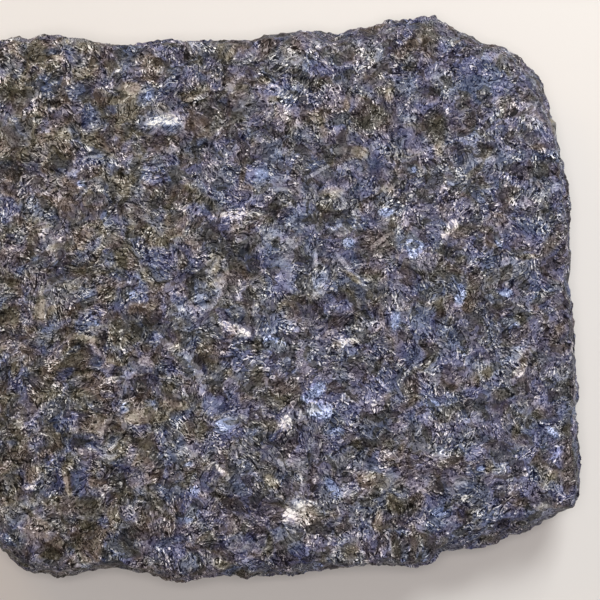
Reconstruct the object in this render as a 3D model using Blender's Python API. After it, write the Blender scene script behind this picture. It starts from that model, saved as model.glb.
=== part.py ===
"""A hand-sized broken slab of larvikite, lying on the flat spot of its underside.

Metres, +Z up. The origin is on the surface that the slab rests on, under the middle of its
outline. +X runs along the longer side and +Y across. Sizes below are in millimetres.
"""

import math

import bmesh
import bpy
from mathutils import Vector, geometry, noise

MM = 0.001

# Driving dimensions
THICKNESS = 25.0        # from the resting surface to the mean level of the top face
EDGE_STEP = 3.2         # longest stretch between two corners round the rim
TOP_STEP = 3.5          # spacing of the corners on the top face
UNDER_STEP = 4.8        # and on the underside
SPOT_LENGTH = 66.0      # the flat spot that the slab rests on
SPOT_WIDTH = 52.0
SPOT_CORNERS = 22

# The widest outline, anticlockwise from the front left corner. Each point is x, y and how far
# the rim of the top face lies inside it, so a large third number is a slanted, broken-off edge.
FRONT_EDGE = (
    (-61.5, -58.0, 2.6), (-59.0, -60.7, 3.0), (-57.2, -62.3, 3.6), (-54.9, -63.5, 4.0),
    (-50.9, -63.9, 4.2), (-48.4, -64.6, 4.4), (-44.3, -63.7, 3.4), (-41.3, -62.8, 2.2),
    (-36.5, -62.1, 1.4), (-33.5, -61.6, 1.2), (-31.6, -62.6, 1.4), (-27.3, -63.2, 1.8),
    (-24.0, -64.2, 2.4), (-19.7, -65.1, 3.0), (-15.3, -63.9, 2.2), (-10.0, -63.7, 2.4),
    (-7.5, -63.5, 2.8), (-4.7, -64.2, 3.4), (0.1, -63.9, 3.4), (3.6, -64.2, 3.2),
    (7.5, -63.9, 3.6), (11.8, -63.5, 3.8), (14.1, -62.3, 2.8), (22.0, -61.9, 1.8),
    (23.8, -61.2, 1.4), (25.0, -61.6, 1.6), (30.2, -61.4, 1.8), (34.4, -61.6, 2.2),
    (37.8, -61.0, 2.6), (40.1, -58.9, 3.6), (45.0, -57.5, 4.8), (47.0, -57.5, 5.2),
    (52.3, -56.6, 5.8), (55.8, -54.7, 6.2), (58.1, -54.7, 6.0), (60.4, -53.6, 5.2),
    (63.8, -51.8, 4.0), (67.7, -49.2, 2.8),
)
RIGHT_EDGE = (
    (70.4, -48.1, 2.2), (70.8, -46.5, 1.8), (71.6, -45.3, 1.6), (71.9, -38.2, 2.6),
    (71.2, -32.2, 3.0), (70.8, -27.8, 2.0), (71.4, -21.6, 1.8), (70.6, -13.6, 1.6),
    (70.8, -7.8, 1.8), (69.8, -0.5, 1.6), (69.3, 3.0, 1.6), (69.6, 11.3, 2.0),
    (69.6, 18.9, 1.8), (69.1, 26.2, 1.6), (68.2, 29.9, 1.8), (66.8, 35.2, 2.0),
    (65.4, 41.2, 2.2), (64.3, 46.5, 3.0),
)
BACK_EDGE = (
    (63.1, 50.6, 4.2), (60.8, 53.1, 4.6), (58.1, 56.1, 3.8), (56.2, 56.8, 3.0),
    (54.6, 57.5, 2.6), (51.4, 58.5, 2.8), (49.1, 58.4, 2.2), (47.0, 59.8, 2.4),
    (42.7, 61.9, 3.0), (40.4, 63.5, 4.2), (38.8, 65.1, 5.2), (35.1, 65.1, 5.0),
    (33.5, 64.6, 4.4), (28.2, 63.9, 3.8), (25.0, 62.6, 3.6), (18.5, 61.9, 4.4),
    (16.2, 60.7, 3.4), (7.5, 61.4, 1.8), (4.5, 60.7, 1.4), (0.1, 60.3, 1.2),
    (-4.3, 58.9, 1.2), (-9.5, 58.8, 1.4), (-17.6, 59.2, 1.2), (-24.0, 59.2, 1.0),
    (-31.2, 58.4, 1.4), (-38.8, 58.4, 1.4), (-44.0, 59.6, 1.0), (-52.1, 60.3, 1.2),
    (-54.9, 59.3, 1.4), (-56.7, 59.8, 1.6),
)
LEFT_EDGE = (
    (-61.5, 58.7, 2.0), (-64.5, 56.1, 3.0), (-67.0, 51.5, 3.2), (-68.7, 45.5, 2.4),
    (-69.8, 38.2, 2.8), (-71.2, 29.9, 3.6), (-70.7, 21.9, 2.6), (-71.9, 13.8, 3.4),
    (-71.2, 5.1, 2.2), (-71.9, -4.1, 3.0), (-70.7, -12.0, 3.8), (-70.3, -20.7, 3.0),
    (-68.9, -29.0, 2.4), (-69.1, -36.1, 3.4), (-67.7, -43.2, 4.0), (-66.8, -49.0, 3.6),
    (-64.5, -54.1, 3.0),
)

# Flake scars on the sides: bearing in degrees from +X, height, half width, half height, depth
SCARS = (
    (-12.0, 8.0, 17.0, 8.5, 2.6), (18.0, 15.0, 15.0, 8.0, 1.6), (42.0, 7.0, 14.0, 7.5, 3.0),
    (63.0, 10.0, 16.0, 9.0, 2.2), (88.0, 6.0, 18.0, 7.0, 3.2), (112.0, 13.0, 15.0, 9.0, 2.0),
    (138.0, 7.0, 16.0, 8.0, 3.4), (163.0, 12.0, 14.0, 9.5, 2.4), (186.0, 6.5, 17.0, 7.5, 3.0),
    (209.0, 13.0, 13.0, 8.0, 2.0), (228.0, 7.0, 15.0, 8.5, 3.0), (252.0, 9.0, 16.0, 8.5, 2.6),
    (276.0, 6.0, 15.0, 7.0, 2.8), (299.0, 11.0, 17.0, 9.0, 2.4), (322.0, 6.5, 14.0, 7.5, 3.2),
    (338.0, 13.0, 11.0, 7.0, 1.6),
)

# The rings of the sides: 1 is the rim of the top face, 0 the widest outline, -1 the lower rim
RING_STATIONS = (1.0, 0.74, 0.45, 0.2, 0.0, -0.18, -0.38, -0.6, -0.82, -1.0)
RIM_CURVE = 1.4
RIM_DROP = 0.42         # share of the rim's inset that the rim lies below the top face
DROP_REACH = 4.5        # how far in from the rim the top face droops towards it
WIDEST_SHARE = 0.6      # mean height of the widest outline, as a share of the side
LOWEST_SHARE = 0.38
HIGHEST_SHARE = 0.8
UNDERCUT = 6.0          # how far the lower rim lies inside the outline
LEAST_UNDERCUT = 1.2
UNDER_CURVE = 1.9
UNDER_LIFT = 3.6        # height of the lower rim above the resting surface
LEAST_LIFT = 0.35       # the underside clears the surface by this much outside the flat spot
ROUGH_FROM = 0.25       # the roughness is full from this far away from the widest outline
RING_JITTER = 0.03      # share of the side's height
SPOT_WOBBLES = ((2, 0.10, 0.6), (5, 0.07, 0.0))  # waves round the flat spot, size, phase
CLEAR_SHARE = 0.62      # an inner corner keeps this share of its spacing from the loops round it
SHIFT_SHARE = 0.22      # and strays from its even net by this share
MERGE_WITHIN = 0.0001
ROW_SLANT = math.radians(60.0)

# Uneven ground: a seed, then the wavelength and height of each layer of smooth noise
TOP_RELIEF = (60.0, ((52.0, 0.9), (19.0, 0.7), (8.0, 0.5)))
UNDER_RELIEF = (0.0, ((30.0, 1.0), (9.0, 0.6)))
WIDEST_WANDER = (0.0, ((34.0, 0.26), (7.0, 0.14)))
UNDERCUT_WANDER = (77.0, ((33.0, 5.0), (11.0, 2.0)))
LIFT_WANDER = (31.0, ((27.0, 2.6), (9.0, 1.2)))
SIDE_ROUGHNESS = (0.0, ((10.0, 2.0), (4.5, 1.1)))
JITTER = (0.0, ((6.0, 1.0),))
NET_SHIFT_LENGTH = 2.7
LAYER_OFFSET = Vector((7.3, 1.9, 4.1))

STONE_COLOUR = (0.112, 0.108, 0.122, 1.0)
STONE_ROUGHNESS = 0.62


def clear_scene():
    for obj in list(bpy.data.objects):
        bpy.data.objects.remove(obj, do_unlink=True)


def stone_material():
    material = bpy.data.materials.new("larvikite")
    material.use_nodes = True
    shader = material.node_tree.nodes["Principled BSDF"]
    shader.inputs["Base Color"].default_value = STONE_COLOUR
    shader.inputs["Roughness"].default_value = STONE_ROUGHNESS
    shader.inputs["Metallic"].default_value = 0.0
    return material


def uneven(ground, place, height=0.0):
    """Smooth noise at a place and height, summed over the layers of an uneven ground."""
    seed, layers = ground
    point = Vector((place.x, place.y, height + seed))
    total = 0.0
    for number, (wavelength, size) in enumerate(layers):
        total += size * noise.noise(point / wavelength + LAYER_OFFSET * number)
    return total


def rim_samples():
    """The outline with its long stretches divided: x, y and the rim's inset at each sample."""
    corners = FRONT_EDGE + RIGHT_EDGE + BACK_EDGE + LEFT_EDGE
    samples = []
    for start, end in zip(corners, corners[1:] + corners[:1]):
        here, there = Vector(start), Vector(end)
        pieces = math.ceil((there - here).to_2d().length / EDGE_STEP)
        samples += [here.lerp(there, piece / pieces) for piece in range(pieces)]
    return samples


def scar_depth(place, height):
    """How deep the flake scars cut at this place on the sides."""
    bearing = math.atan2(place.y, place.x)
    deepest = 0.0
    for degrees, middle, half_width, half_height, depth in SCARS:
        turn = math.remainder(bearing - math.radians(degrees), math.tau)
        across = turn * place.length / half_width
        up = (height - middle) / half_height
        deepest = max(deepest, depth * (1.0 - across * across - up * up))
    return deepest


def top_height(place, rim, distance):
    """Height of the top face at a distance inside a rim that slants by this much."""
    droop = RIM_DROP * rim * math.exp(-distance / DROP_REACH)
    return THICKNESS + uneven(TOP_RELIEF, place) - droop


def side_point(sample, station):
    """A point on the side, between the rim of the top face at 1 and the lower rim at -1."""
    place, rim = sample.to_2d(), sample.z
    low = UNDER_LIFT + uneven(LIFT_WANDER, place)
    high = top_height(place, rim, 0.0)
    share = WIDEST_SHARE + uneven(WIDEST_WANDER, place)
    widest = low + (high - low) * min(HIGHEST_SHARE, max(LOWEST_SHARE, share))
    away = abs(station)
    if station > 0.0:
        height = widest + (high - widest) * away
        inset = rim * away ** RIM_CURVE
    else:
        height = widest + (low - widest) * away
        undercut = max(LEAST_UNDERCUT, UNDERCUT + uneven(UNDERCUT_WANDER, place))
        inset = undercut * away ** UNDER_CURVE
    rough = abs(uneven(SIDE_ROUGHNESS, place, height)) + scar_depth(place, height)
    inset += rough * min(1.0, away / ROUGH_FROM)
    if 0.0 < away < 1.0:
        height += RING_JITTER * (high - low) * uneven(JITTER, place, height)
    pulled = place * (1.0 - inset / place.length)
    return Vector((pulled.x, pulled.y, height))


def flat_spot():
    """The corners of the flat spot, a rounded patch with an uneven border."""
    corners = []
    for number in range(SPOT_CORNERS):
        angle = math.tau * number / SPOT_CORNERS
        wobble = 1.0
        for waves, size, phase in SPOT_WOBBLES:
            wobble += size * math.sin(waves * angle + phase)
        x = 0.5 * SPOT_LENGTH * wobble * math.cos(angle)
        y = 0.5 * SPOT_WIDTH * wobble * math.sin(angle)
        corners.append(Vector((x, y)))
    return corners


def inside(place, loop):
    """Whether a place is inside a closed loop of corners."""
    crossings = False
    for a, b in zip(loop, loop[1:] + loop[:1]):
        if (a.y > place.y) != (b.y > place.y):
            if place.x < a.x + (b.x - a.x) * (place.y - a.y) / (b.y - a.y):
                crossings = not crossings
    return crossings


def nearest(place, loop):
    """The distance to the nearest corner of a loop, and that corner's number."""
    return min(((place - corner).length, number) for number, corner in enumerate(loop))


def inner_places(loop, step, holes=()):
    """Corners of an even triangular net inside a loop and outside the holes in it."""
    reach = max(max(abs(corner.x), abs(corner.y)) for corner in loop)
    rows = math.ceil(reach / (step * math.sin(ROW_SLANT)))
    columns = math.ceil(reach / step) + 1
    places = []
    for row in range(-rows, rows + 1):
        for column in range(-columns, columns + 1):
            x = (column + 0.5 * (row % 2)) * step
            y = row * step * math.sin(ROW_SLANT)
            shift = noise.noise_vector(Vector((x, y, 0.0)) / NET_SHIFT_LENGTH)
            place = Vector((x, y)) + shift.to_2d() * SHIFT_SHARE * step
            if not inside(place, loop) or any(inside(place, hole) for hole in holes):
                continue
            clear = min(nearest(place, border)[0] for border in (loop, *holes))
            if clear > CLEAR_SHARE * step:
                places.append(place)
    return places


def cap(bm, loop, inner, height, up, holes=()):
    """Closes a ring of corners with triangles that pass through the inner places."""
    border = [corner.co.to_2d() / MM for corner in loop]
    rings = [place for hole in holes for place in hole]
    places = border + rings + inner
    edges = []
    start = len(border)
    for hole in holes:
        count = len(hole)
        edges += [(start + n, start + (n + 1) % count) for n in range(count)]
        start += count
    outer = [list(range(len(border)))]
    net = geometry.delaunay_2d_cdt(places, edges, outer, 1, MERGE_WITHIN, True)
    faces, sources = net[2], net[3]
    if not all(sources):
        raise ValueError("the rim crosses itself")
    corners = list(loop)
    for place in rings + inner:
        corners.append(bm.verts.new(Vector((place.x, place.y, height(place))) * MM))
    for face in faces:
        numbers = [sources[number][0] for number in face]
        middle = sum((places[number] for number in numbers), Vector((0.0, 0.0))) / len(numbers)
        if inside(middle, border):
            ends = [corners[number] for number in numbers]
            bm.faces.new(ends if up else reversed(ends))


def larvikite_slab():
    """The whole stone: one closed solid."""
    bm = bmesh.new()
    samples = rim_samples()
    rings = []
    for station in RING_STATIONS:
        rings.append([bm.verts.new(side_point(sample, station) * MM) for sample in samples])
    count = len(samples)
    for upper, lower in zip(rings, rings[1:]):
        for n in range(count):
            after = (n + 1) % count
            bm.faces.new((lower[n], lower[after], upper[after], upper[n]))

    top_rim = [corner.co.to_2d() / MM for corner in rings[0]]
    under_rim = [corner.co.to_2d() / MM for corner in rings[-1]]
    spot = flat_spot()

    def top(place):
        distance, number = nearest(place, top_rim)
        return top_height(place, samples[number].z, distance)

    def under(place):
        to_spot, _ = nearest(place, spot)
        if to_spot < MERGE_WITHIN:
            return 0.0
        to_rim, number = nearest(place, under_rim)
        rise = rings[-1][number].co.z / MM * to_spot / (to_spot + to_rim)
        bumps = uneven(UNDER_RELIEF, place) * min(1.0, to_spot / UNDER_STEP)
        return max(LEAST_LIFT, rise + bumps)

    cap(bm, rings[0], inner_places(top_rim, TOP_STEP), top, True)
    cap(bm, rings[-1], inner_places(under_rim, UNDER_STEP, (spot,)), under, False, (spot,))
    bmesh.ops.triangulate(bm, faces=bm.faces[:], quad_method="SHORT_EDGE")
    bmesh.ops.recalc_face_normals(bm, faces=bm.faces[:])

    mesh = bpy.data.meshes.new("larvikite_slab")
    bm.to_mesh(mesh)
    bm.free()
    mesh.materials.append(stone_material())
    slab = bpy.data.objects.new("larvikite_slab", mesh)
    bpy.context.scene.collection.objects.link(slab)
    return slab


def main():
    clear_scene()
    larvikite_slab()


main()
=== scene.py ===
"""The fine broken surface and the finish of a larvikite slab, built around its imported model.

Lengths are in metres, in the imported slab's own frame. Relief and patterns work in millimetres.
"""

import math

import bpy
import numpy as np
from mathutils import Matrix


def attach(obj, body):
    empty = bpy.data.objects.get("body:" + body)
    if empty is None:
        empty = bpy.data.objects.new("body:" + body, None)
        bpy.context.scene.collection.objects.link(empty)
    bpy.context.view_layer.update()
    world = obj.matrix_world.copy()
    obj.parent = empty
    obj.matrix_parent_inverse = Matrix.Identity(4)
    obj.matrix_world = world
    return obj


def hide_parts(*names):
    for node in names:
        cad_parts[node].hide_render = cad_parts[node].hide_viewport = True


bl_info = {
    "name": "Larvikite slab",
    "version": (1, 0, 0),
    "blender": (4, 5, 0),
    "location": "View3D > Sidebar > Larvikite",
    "description": "Builds a broken larvikite slab with its crystal finish, and a plain stage",
    "category": "Add Mesh",
}

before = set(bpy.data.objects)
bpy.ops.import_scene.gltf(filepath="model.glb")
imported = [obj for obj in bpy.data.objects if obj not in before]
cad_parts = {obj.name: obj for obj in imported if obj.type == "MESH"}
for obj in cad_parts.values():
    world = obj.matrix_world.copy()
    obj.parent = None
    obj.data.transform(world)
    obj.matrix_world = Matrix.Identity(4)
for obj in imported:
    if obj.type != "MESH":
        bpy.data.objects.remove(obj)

SLAB_NODE = "larvikite_slab"
STONE_NAME = "larvikite_stone"
BODY = "root"

MM = 0.001
HALF = (0.5, 0.5, 0.5)

# How the copied slab is cut finer: extra cuts on each edge, by where a face looks.
MERGE_DISTANCE = 1e-6
UP_NORMAL = 0.45
TOP, SIDE, UNDER = 0, 1, 2
CUTS = {TOP: 5, SIDE: 2, UNDER: 1}

# How its facets are eased, how far above the floor the relief fades in, how much calmer it is on
# the sides, and up to which angle it is shaded smooth.
SMOOTH_SHARE = 0.5
SMOOTH_TURNS = 5
RESTING_HEIGHT = 0.00002
RELIEF_FADE = 0.0015
SIDE_CALM = 0.75
SMOOTH_ANGLE = math.radians(28)

# The cells of the relief: which of their chances lifts them and by how many millimetres, how wide
# their border is as a share of their size, and the share of their height that is left on it.
CRYSTAL_RELIEF = {"chance": 0, "rise": 0.5, "border": 0.16, "left": 0.25}
GRAIN_RELIEF = {"chance": 1, "rise": 0.2, "border": 0.2, "left": 0.3}
GRAIN_SLOPE = 0.5

# Other relief, and from here to the marks lengths are in millimetres unless a comment says metres.
HOLLOW_HEIGHT = 1.8
STEP_LENGTH = 2.1
ROUGH_HEIGHT = 0.6

# Noise: its size, its detail and its roughness, and the size of specks.
HOLLOWS = (9.0, 3.0, 0.55)
WAVER = (3.0, 1.0, 0.5)
ROUGH = (1.0, 2.0, 0.7)
PATCHES = (4.0, 2.0, 0.5)
RAGS = (1.6, 2.0, 0.6)
HUES = (4.6, 2.0, 0.5)
STRIPES = (1.0, 1.0, 0.5)
WISPS = (1.0, 0.0, 0.6)
SPECK_SIZE = 0.26

# How borders wander: the size of the noise that pushes them, about how far, and its detail.
NOISE_SWING = 0.25
WIDE_WANDER = (5.0, 1.3, 1.0)
NEAR_WANDER = (1.5, 0.2, 0.0)
ROUGH_WANDER = (1.6, 0.16, 0.0)
TORN_WANDER = (0.8, 0.06, 0.0)
HUE_WANDER = (5.0, 1.0, 1.0)

# How far a crystal's cleavage tips, and how far a grain's turns away from it, in radians.
CRYSTAL_TIP = 1.2
GRAIN_BEND = 1.6

# The parts of the finish: their size along, across and through the cleavage.
GRAIN_SIZE = (6.5, 3.8, 4.4)
PLATE_SIZE = (2.8, 1.5, 1.8)
BLADE_SIZE = (8.0, 1.7, 2.4)
STRIPE_SIZE = (2.4, 0.3, 0.5)
WISP_SIZE = (3.0, 1.8, 2.0)
FLAKE_SIZE = (1.1, 0.6, 0.7)
SLIVER_SIZE = (1.0, 0.30, 0.38)
WISP_WIDTH = 0.03

# How far towards the key light, in millimetres, a place looks for a sliver and for the pale net,
# to paint their shadow on the side away from the light.
SLIVER_SHADOW = (0.16, 0.22, 0.0)
NET_SHADOW = (0.16, 0.20, 0.0)

# Cracks and lit edges on the border of plates: how near the border, the chance that picks the
# plate, and on which side of it. Each pair holds the values at which the mask is 0 and 1.
PLATE_SIDE = (0.4, 1.0, 0.3)
PLATE_EDGES = {
    "crack": ((0.09, 0.05), "plate_third", (0.7, 0.6), (0.0, -0.15)),
    "lit": ((0.11, 0.06), "plate_second", (0.3, 0.4), (0.05, 0.2)),
}
# Masks cut out of another layer, with the values of it at which the mask is 0 and 1.
MASKS = {
    "blade": ("blades", 0.86, 0.865),
    "busy": ("grain_second", 0.68, 0.72),
    "clot": ("clots", 0.55, 0.57),
    "cloud": ("clouds", 0.56, 0.575),
    # Lifted slivers carry a painted highlight, and the mask after it a painted shadow beside them.
    "lifted": ("sliver", 0.89, 0.93),
    "painted_sliver_shadow": ("beside", 0.87, 0.91),
    "pit": ("sliver_third", 0.12, 0.09),
    "light_speck": ("speck", 0.965, 0.975),
    "dark_speck": ("speck", 0.09, 0.07),
    # Glints are painted: sparse bright specks laid into the colour.
    "glint": ("speck_second", 0.978, 0.99),
    "mirror": ("flake_third", 0.86, 0.9),
}
# The pale net between grains: its width as a share of a grain, and how soft its edge is.
NET_WIDTH = 0.08
NET_WIDTH_SHARES = {"patch": 0.7, "grain_third": 0.16}
NET_FRAY = 0.6
NET_EDGE = 0.02

# A mark's edge: how much it frays, and where it lies on the mark's field. Soft edges don't fray.
FRAY_SHARES = {"rag": 0.5, "plate": 0.22, "flake": 0.14, "sliver": 0.08}
THIN_KINDS = ("line", "white")
THIN_EDGE = (0.6, (0.38, 0.48))
WIDE_EDGE = (1.0, (0.47, 0.54))
SOFT_KINDS = ("brown", "tan", "blue", "flash")
SOFT_EDGE = (0.30, 0.70)

# Lightness, from 0 to 1 as a screen shows it: the layers that move the tone, the lightness of
# each tone, what is added, and the level that the net and the marks pull to, with their share.
TONE_MIDDLE = 0.53
TONE_SHARES = {"grain": 0.26, "crystal": 0.14, "plate": 0.12, "patch": 0.2}
TONE_STOPS = ((0.10, 0.22), (0.30, 0.28), (0.50, 0.335), (0.68, 0.395), (0.82, 0.455), (0.95, 0.52))
TONE_ADDED = {"cloud": 0.06, "blade": 0.11}
LEVELS = {
    "net": (0.58, 0.47),
    "haze": (0.54, 0.75),
    "brown": (0.32, 0.7),
    "dark": (0.24, 0.8),
    "flash": (0.67, 0.75),
    "pale": (0.66, 0.8),
    "line": (0.65, 0.8),
}
TONE_LOWEST = 0.13
CLOT_DARKER = -0.30

# Fine detail, above and below 0: how far each layer swings it, and what its masks add. Pairs are a
# share of a layer and what is added to it. Calm is the share of the detail that a place keeps.
FLAKE_SWING = 0.17
SPECK_SWING = 0.42
SLIVER_BUSY = 0.3
STRIPED = (0.5, 0.1)
STREAKY = (0.6, 0.4)
# Lifted and lit add painted highlights; the sliver shadow and net_shade add painted shadows.
DETAIL_ADDED = {"lifted": 0.62, "painted_sliver_shadow": -0.8, "pit": -0.85, "lit": 0.5, "crack": -1.0, "wisp": 0.3}
DETAIL_ADDED |= {"net_shade": -1.0, "light_speck": 0.65, "dark_speck": -0.95}
CALM = (2.0, 0.5)
CALM_LOWEST = 0.35
CALM_ADDED = {"clot": -0.2, "net": -0.15, "pale": -0.35, "line": -0.35, "haze": -0.35, "dark": -0.25}
REACH = (0.5, 0.2)
SHINE_RANGE = (0.38, 0.58, 0.06, 1.0)
# Painted highlights added to the lightness: the shine on white marks and the glints.
LIGHT_ADDED = {"shine": 0.46, "glint": 0.24}
LIGHT_LIMITS = (0.05, 1.0)

# Hue: how warm, blue and mauve a place is, from 0 to 1, as a middle, the layers that move it both
# ways and what is added. Drift is the stain at the left end, which fades out over its length.
DRIFT = (-45.0, 8.0, 1.0, 0.0)
HUE_MIX = {
    "warm": (
        0.14,
        {"warm_noise": 3.8, "crystal_second": 0.4, "grain_second": 0.2},
        {"drift": 0.6, "soft_tan": 0.7, "soft_blue": -0.6},
    ),
    "bluish": (
        0.38,
        {"blue_noise": 3.8, "crystal_third": 0.35, "grain_third": 0.25},
        {"drift": -0.15, "soft_blue": 0.8, "soft_flash": 0.8, "soft_tan": -0.6, "soft_brown": -0.6},
    ),
    "mauve": (0.5, {"mauve_noise": 5.0, "grain": 0.25}, {"soft_flash": -0.9}),
}
BROWN_HUE = {"soft_brown": 0.65, "clot": 0.4}
GREEN_CAST = (-0.055, 0.03, -0.05)
MAUVE_CAST = (0.035, -0.02, 0.03)
PLAIN_HUE = (1.03, 0.99, 1.0)
PLAIN_DETAIL = (0.15, 0.7, 0.0, 0.6)
# The painted shine of white marks also turns their hue near white.
PLAIN_ADDED = {"shine": 0.8, "flash": -0.8}
DEPTH_TOP = 0.5
DEPTH = (0.2, 0.31)
DEPTH_ADDED = {"flash": 0.14}
COLOUR_LOWEST = (0.02, 0.02, 0.02)
SCREEN_GAMMA = 2.2
LIGHT_WEIGHTS = (0.2126, 0.7152, 0.0722)

# The finish's own small relief, in metres and in shares of it, and its gloss.
BUMP_DEPTH = 0.0003
FACET_LIFT = 1.2
LIFTS = {"sliver_third": 0.35, "plate_second": 0.7}
ROUGHNESS = (0.25, 0.4)
SPECULAR = 0.2
COAT_SHARE = 0.3
COAT_ROUGHNESS = 0.25

# The stage, in metres: each light's place, width and colour, the floor, and the camera.
LIGHTS = {
    "key": ((0.172, 0.299, 0.441), 0.18, (0.98, 1.0, 0.97)),
    "overhead": ((0.0, 0.0, 0.9), 0.3, (1.0, 0.93, 0.885)),
    "warm": ((-0.35, 0.45, 0.45), 0.3, (1.0, 0.66, 0.315)),
}
ROOM_COLOUR = (1.0, 0.97, 0.94, 1.0)
FLOOR_WIDTH = 6.0
FLOOR_ROUGHNESS = 0.8
CAMERA_PLACE = (0.007475, -0.00046, 0.55)
CAMERA_SENSOR = 36.0
CAMERA_LENS = 139.5
CAMERA_CLIP = 0.01

# Marks are placed by the pixel of a view from straight above, 600 pixels across.
PIXEL = 0.227 * MM
MIDDLE_PIXEL = (267.1, 298.0)
MARK_LOWEST = 0.012

# The crystals and stains that stand out on the top face, by kind:
# the middle's x and y, the length and the width in pixels, and unless it is level, how many
# degrees the length rises to the right.
# Of these, the white marks are painted glints and the flash marks a painted blue sheen, not crystals or
# stains.
PALE_MARKS = (
    (57, 133, 36, 11, 5), (135, 157, 20, 12), (172, 150, 20, 7), (74, 172, 14, 8), (190, 45, 22, 6, -8),
    (67, 43, 15, 7), (299, 125, 12, 8), (419, 40, 14, 6, 85), (433, 77, 22, 7, 8), (488, 57, 28, 8, 5),
    (494, 102, 12, 9), (533, 116, 22, 8, -65), (420, 152, 22, 9, 8), (468, 141, 20, 11, 10),
    (485, 160, 22, 6, 5), (411, 118, 14, 9, 80), (553, 153, 10, 9), (555, 188, 10, 9),
    (275, 235, 26, 12, -18), (247, 241, 36, 8, 8), (292, 244, 20, 8, -38), (100, 244, 22, 7, 80),
    (128, 284, 26, 5, 12), (176, 309, 46, 10, 3), (196, 299, 16, 6, 25), (145, 361, 13, 10, -10),
    (119, 379, 32, 6, 12), (318, 285, 28, 20, 50), (340, 230, 20, 16), (356, 212, 10, 9),
    (347, 342, 24, 8, -3), (377, 325, 16, 8), (295, 330, 10, 8), (510, 260, 20, 8, 10), (525, 256, 20, 4),
    (525, 348, 30, 8, -5), (520, 372, 20, 14, 15), (145, 414, 38, 15, 5), (33, 485, 15, 9),
    (228, 424, 18, 14), (290, 462, 30, 9, -5), (378, 520, 20, 8, 80), (345, 492, 20, 8, -10),
    (222, 563, 22, 11), (391, 548, 12, 6, 60), (443, 455, 14, 12, 80), (434, 455, 10, 6, 80),
    (460, 483, 14, 6), (420, 490, 14, 8, 20), (512, 490, 10, 9), (545, 510, 22, 12, -30),
    (540, 405, 16, 14, 40), (470, 420, 22, 6), (44, 228, 14, 12, 80), (55, 245, 20, 16, 60),
    (187, 450, 20, 12, -20), (112, 455, 10, 8), (340, 151, 16, 9), (232, 90, 12, 10),
    (458, 303, 12, 9, 30), (236, 330, 36, 11, -22), (300, 512, 36, 24), (237, 216, 52, 10, 3),
    (165, 121, 42, 15, 4), (286, 425, 18, 12, -75), (450, 228, 22, 10, 55), (83, 563, 14, 10),
    (240, 228, 20, 8, 20), (385, 213, 16, 8), (180, 392, 18, 12, -30), (225, 474, 14, 6, -40),
    (523, 205, 12, 10), (290, 206, 7, 7), (298, 62, 12, 10), (447, 186, 16, 7, 15), (402, 222, 18, 6),
    (203, 388, 16, 8, 75),
)
BEIGE_MARKS = (
    (390, 96, 14, 10, 90), (440, 148, 16, 12, 80), (82, 247, 12, 9, 30), (90, 339, 26, 9, -15),
    (215, 284, 18, 10, 30), (213, 262, 22, 16, 60), (175, 405, 26, 10, -5), (272, 481, 16, 12, -50),
    (555, 475, 18, 12), (361, 153, 16, 12), (132, 90, 26, 12), (333, 193, 26, 10), (388, 188, 14, 10),
)
# White marks are painted glints: bright reflections off cleavage faces, laid into the colour.
PAINTED_GLINT_MARKS = (
    (165, 121, 34, 9, 5), (238, 215, 44, 6, 3), (453, 224, 11, 9, 60), (446, 232, 14, 6, 50),
    (320, 408, 24, 15, -12), (286, 425, 17, 11, -75), (303, 504, 18, 9, 15), (290, 511, 14, 6, 25),
    (299, 517, 26, 8), (284, 519, 8, 5, 40), (304, 524, 14, 3, 10), (236, 329, 30, 7, -22),
    (347, 341, 22, 6), (110, 380, 18, 6, 18), (34, 487, 12, 5, 5), (466, 497, 12, 7), (145, 307, 7, 3),
    (62, 351, 6, 5, 60), (331, 289, 5, 3), (551, 429, 7, 4, 90), (518, 371, 14, 9, 15),
    (412, 253, 9, 7, 80), (479, 514, 4, 4), (139, 523, 8, 3, -60), (183, 262, 8, 3, -30),
    (573, 348, 12, 4, 85), (363, 563, 12, 4, 25), (220, 468, 12, 4, -40), (122, 331, 4, 4),
    (307, 286, 5, 4),
)
LINE_MARKS = (
    (225, 265, 22, 5, -72), (222, 283, 20, 6, 62), (221, 297, 18, 6, -80), (208, 308, 24, 6, 15),
    (343, 262, 18, 5, -52), (355, 277, 22, 5, -48), (365, 287, 12, 5, -35), (161, 339, 18, 6, -35),
    (176, 347, 20, 6, -25), (189, 358, 20, 6, -52), (200, 374, 22, 7, -62), (73, 337, 16, 6, 30),
    (87, 338, 16, 6, -40), (97, 349, 16, 5, -50), (103, 433, 24, 3, 85), (112, 447, 16, 3, -40),
    (43, 305, 30, 4, 88), (55, 302, 30, 4, 88), (440, 82, 14, 3, -45), (291, 53, 18, 3, -50),
    (380, 241, 24, 4, 38), (316, 262, 24, 4, 90), (318, 172, 26, 4, 30), (342, 168, 26, 4, -12),
    (503, 119, 16, 3, -42), (447, 87, 18, 3, -42), (58, 58, 16, 3, -35), (73, 84, 18, 3, -30),
    (250, 557, 30, 3, 28), (44, 140, 20, 3), (96, 157, 24, 3, 5), (131, 373, 26, 3, -5),
    (383, 385, 20, 3, -45), (286, 318, 20, 4, -50), (280, 190, 34, 4, -6), (317, 45, 16, 3, -40),
    (341, 53, 18, 3, -40), (530, 181, 14, 3, 88), (67, 480, 30, 4, -80),
)
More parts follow.
